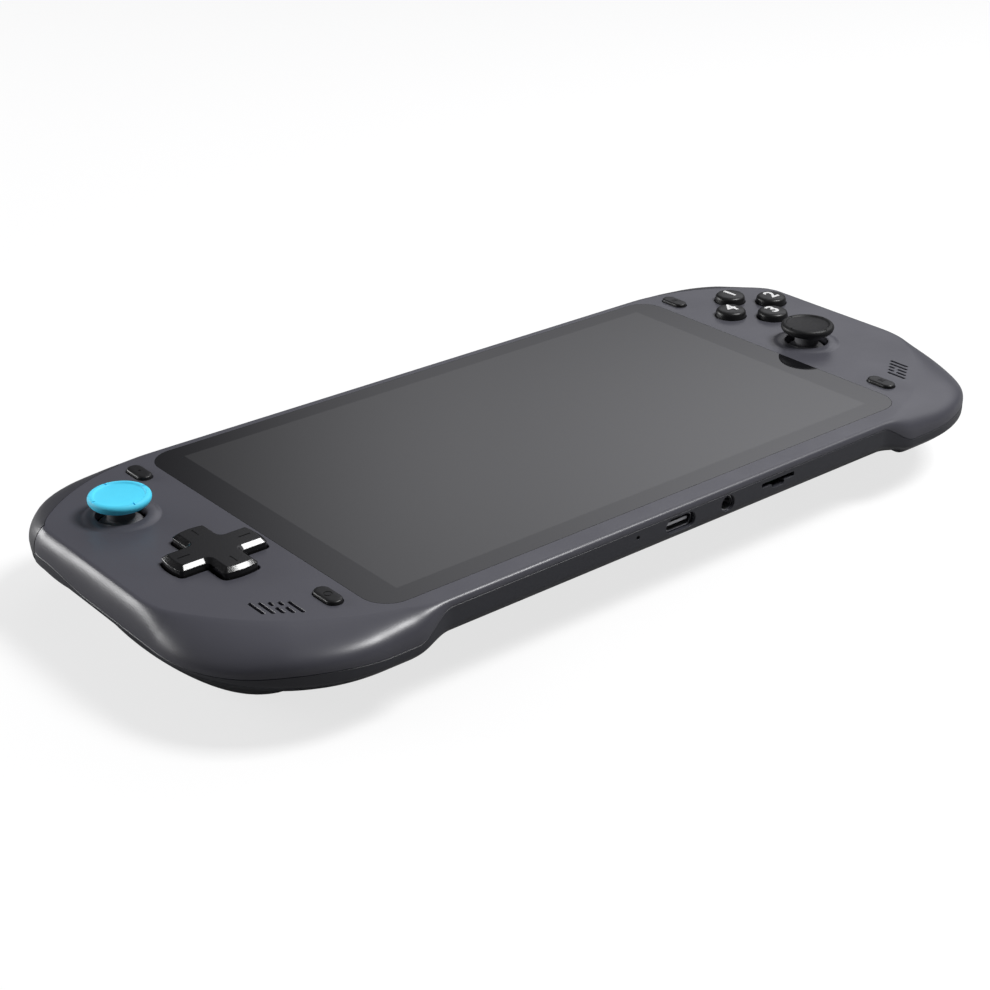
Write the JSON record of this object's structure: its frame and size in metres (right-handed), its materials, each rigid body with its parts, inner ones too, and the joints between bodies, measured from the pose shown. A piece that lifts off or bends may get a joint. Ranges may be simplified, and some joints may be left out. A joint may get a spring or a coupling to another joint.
{
  "type": "handheld_game_console",
  "caption": "Slim handheld game console with a flush screen, two thumbsticks, cross pad, face buttons, shoulder bumpers, triggers and moulded grips",
  "frame": {"origin": "middle of the bounding box in plan, on the plane that the two grips rest on", "axes": "+X to the right of the screen, +Y to its top edge, +Z out of the screen"},
  "size_m": [0.251, 0.1108, 0.0298],
  "materials": {
    "shell": "satin",
    "shell_back": "satin",
    "screen": "gloss",
    "panel": "satin",
    "chassis": "satin",
    "circuit": "satin",
    "tinned_steel": "satin",
    "cell": "matte",
    "flex": "satin",
    "silicone": "matte",
    "black_plastic": "satin",
    "blue_rubber": "matte",
    "black_rubber": "matte",
    "white_nylon": "satin",
    "gold": "satin"
  },
  "bodies": {
    "console": {"front_shell": "shell", "rear_shell": "shell_back", "screen_glass": "screen", "display_panel": "panel", "chassis_plate": "chassis", "main_board": "circuit", "shield_can": "tinned_steel", "battery": "cell", "left_control_board": "circuit", "right_control_board": "circuit", "left_ribbon": "flex", "right_ribbon": "flex", "dpad_membrane": "silicone", "face_membrane": "silicone", "pill_switches": "tinned_steel", "left_speaker": "black_plastic", "right_speaker": "black_plastic", "usb_socket": "tinned_steel", "audio_jack": "black_plastic", "card_socket": "tinned_steel", "microphone": "gold", "left_stick_housing": "black_plastic", "right_stick_housing": "black_plastic", "left_bumper_pin": "tinned_steel", "right_bumper_pin": "tinned_steel", "left_trigger_pin": "tinned_steel", "right_trigger_pin": "tinned_steel", "left_trigger_spring": "tinned_steel", "right_trigger_spring": "tinned_steel", "key_switches": "tinned_steel", "case_screws": "tinned_steel", "board_screws": "tinned_steel"},
    "left_stick_gimbal": {"left_stick_gimbal": "tinned_steel"},
    "left_stick_rocker": {"left_stick_rocker": "white_nylon"},
    "left_stick": {"left_stick_shaft": "black_plastic", "left_stick_cap": "blue_rubber"},
    "right_stick_gimbal": {"right_stick_gimbal": "tinned_steel"},
    "right_stick_rocker": {"right_stick_rocker": "white_nylon"},
    "right_stick": {"right_stick_shaft": "black_plastic", "right_stick_cap": "black_rubber"},
    "dpad_pivot": {"dpad_pivot": "tinned_steel"},
    "dpad": {"dpad": "black_plastic"},
    "face_button_1": {"face_button_1": "black_plastic"},
    "face_button_2": {"face_button_2": "black_plastic"},
    "face_button_3": {"face_button_3": "black_plastic"},
    "face_button_4": {"face_button_4": "black_plastic"},
    "pill_top_left": {"pill_top_left": "black_plastic"},
    "pill_top_right": {"pill_top_right": "black_plastic"},
    "pill_low_left": {"pill_low_left": "black_plastic"},
    "pill_low_right": {"pill_low_right": "black_plastic"},
    "left_bumper": {"left_bumper": "shell"},
    "right_bumper": {"right_bumper": "shell"},
    "left_trigger": {"left_trigger": "shell_back"},
    "right_trigger": {"right_trigger": "shell_back"},
    "power_button": {"power_button": "black_plastic"},
    "volume_rocker": {"volume_rocker": "black_plastic"}
  },
  "joints": [
    {"name": "left_stick_pitch", "type": "hinge", "parent": "console", "child": "left_stick_gimbal", "pos_m": [-0.106, 0.0269, 0.017], "axis": [1, 0, 0], "range_deg": [-12, 12], "stiffness_Nm_per_rad": 0.02},
    {"name": "left_stick_roll", "type": "hinge", "parent": "left_stick_gimbal", "child": "left_stick_rocker", "pos_m": [-0.106, 0.0269, 0.017], "axis": [0, 1, 0], "range_deg": [-12, 12], "stiffness_Nm_per_rad": 0.02},
    {"name": "left_stick_click", "type": "slide", "parent": "left_stick_rocker", "child": "left_stick", "axis": [0, 0, -1], "range_m": [0, 0.00035], "stiffness_N_per_m": 4000},
    {"name": "right_stick_pitch", "type": "hinge", "parent": "console", "child": "right_stick_gimbal", "pos_m": [0.0984, -0.0024, 0.017], "axis": [1, 0, 0], "range_deg": [-12, 12], "stiffness_Nm_per_rad": 0.02},
    {"name": "right_stick_roll", "type": "hinge", "parent": "right_stick_gimbal", "child": "right_stick_rocker", "pos_m": [0.0984, -0.0024, 0.017], "axis": [0, 1, 0], "range_deg": [-12, 12], "stiffness_Nm_per_rad": 0.02},
    {"name": "right_stick_click", "type": "slide", "parent": "right_stick_rocker", "child": "right_stick", "axis": [0, 0, -1], "range_m": [0, 0.00035], "stiffness_N_per_m": 4000},
    {"name": "dpad_pitch", "type": "hinge", "parent": "console", "child": "dpad_pivot", "pos_m": [-0.0997, -0.0037, 0.0205], "axis": [1, 0, 0], "range_deg": [-3.5, 3.5], "stiffness_Nm_per_rad": 0.3},
    {"name": "dpad_roll", "type": "hinge", "parent": "dpad_pivot", "child": "dpad", "pos_m": [-0.0997, -0.0037, 0.0205], "axis": [0, 1, 0], "range_deg": [-3.5, 3.5], "stiffness_Nm_per_rad": 0.3},
    {"name": "face_button_1_press", "type": "slide", "parent": "console", "child": "face_button_1", "axis": [0, 0, -1], "range_m": [0, 0.001], "stiffness_N_per_m": 900},
    {"name": "face_button_2_press", "type": "slide", "parent": "console", "child": "face_button_2", "axis": [0, 0, -1], "range_m": [0, 0.001], "stiffness_N_per_m": 900},
    {"name": "face_button_3_press", "type": "slide", "parent": "console", "child": "face_button_3", "axis": [0, 0, -1], "range_m": [0, 0.001], "stiffness_N_per_m": 900},
    {"name": "face_button_4_press", "type": "slide", "parent": "console", "child": "face_button_4", "axis": [0, 0, -1], "range_m": [0, 0.001], "stiffness_N_per_m": 900},
    {"name": "pill_top_left_press", "type": "slide", "parent": "console", "child": "pill_top_left", "axis": [0, 0, -1], "range_m": [0, 0.0005], "stiffness_N_per_m": 1500},
    {"name": "pill_top_right_press", "type": "slide", "parent": "console", "child": "pill_top_right", "axis": [0, 0, -1], "range_m": [0, 0.0005], "stiffness_N_per_m": 1500},
    {"name": "pill_low_left_press", "type": "slide", "parent": "console", "child": "pill_low_left", "axis": [0, 0, -1], "range_m": [0, 0.0005], "stiffness_N_per_m": 1500},
    {"name": "pill_low_right_press", "type": "slide", "parent": "console", "child": "pill_low_right", "axis": [0, 0, -1], "range_m": [0, 0.0005], "stiffness_N_per_m": 1500},
    {"name": "right_bumper_press", "type": "hinge", "parent": "console", "child": "right_bumper", "pos_m": [0.10633, 0.04159, 0.0204], "axis": [-0.8629, 0.5053, 0], "range_deg": [0, 2.5], "stiffness_Nm_per_rad": 8},
    {"name": "left_bumper_press", "type": "hinge", "parent": "console", "child": "left_bumper", "pos_m": [-0.10633, 0.04159, 0.0204], "axis": [-0.8629, -0.5053, 0], "range_deg": [0, 2.5], "stiffness_Nm_per_rad": 8},
    {"name": "left_trigger_pull", "type": "hinge", "parent": "console", "child": "left_trigger", "pos_m": [-0.10523, 0.0433, 0.0156], "axis": [-1, 0, 0], "range_deg": [0, 15], "stiffness_Nm_per_rad": 0.12},
    {"name": "right_trigger_pull", "type": "hinge", "parent": "console", "child": "right_trigger", "pos_m": [0.10523, 0.0433, 0.0156], "axis": [-1, 0, 0], "range_deg": [0, 15], "stiffness_Nm_per_rad": 0.12},
    {"name": "power_button_press", "type": "slide", "parent": "console", "child": "power_button", "axis": [0, -1, 0], "range_m": [0, 0.0005], "stiffness_N_per_m": 1500},
    {"name": "volume_rock", "type": "hinge", "parent": "console", "child": "volume_rocker", "pos_m": [-0.06, 0.0511, 0.02], "axis": [0, 0, 1], "range_deg": [-1.2, 1.2], "stiffness_Nm_per_rad": 0.5}
  ]
}
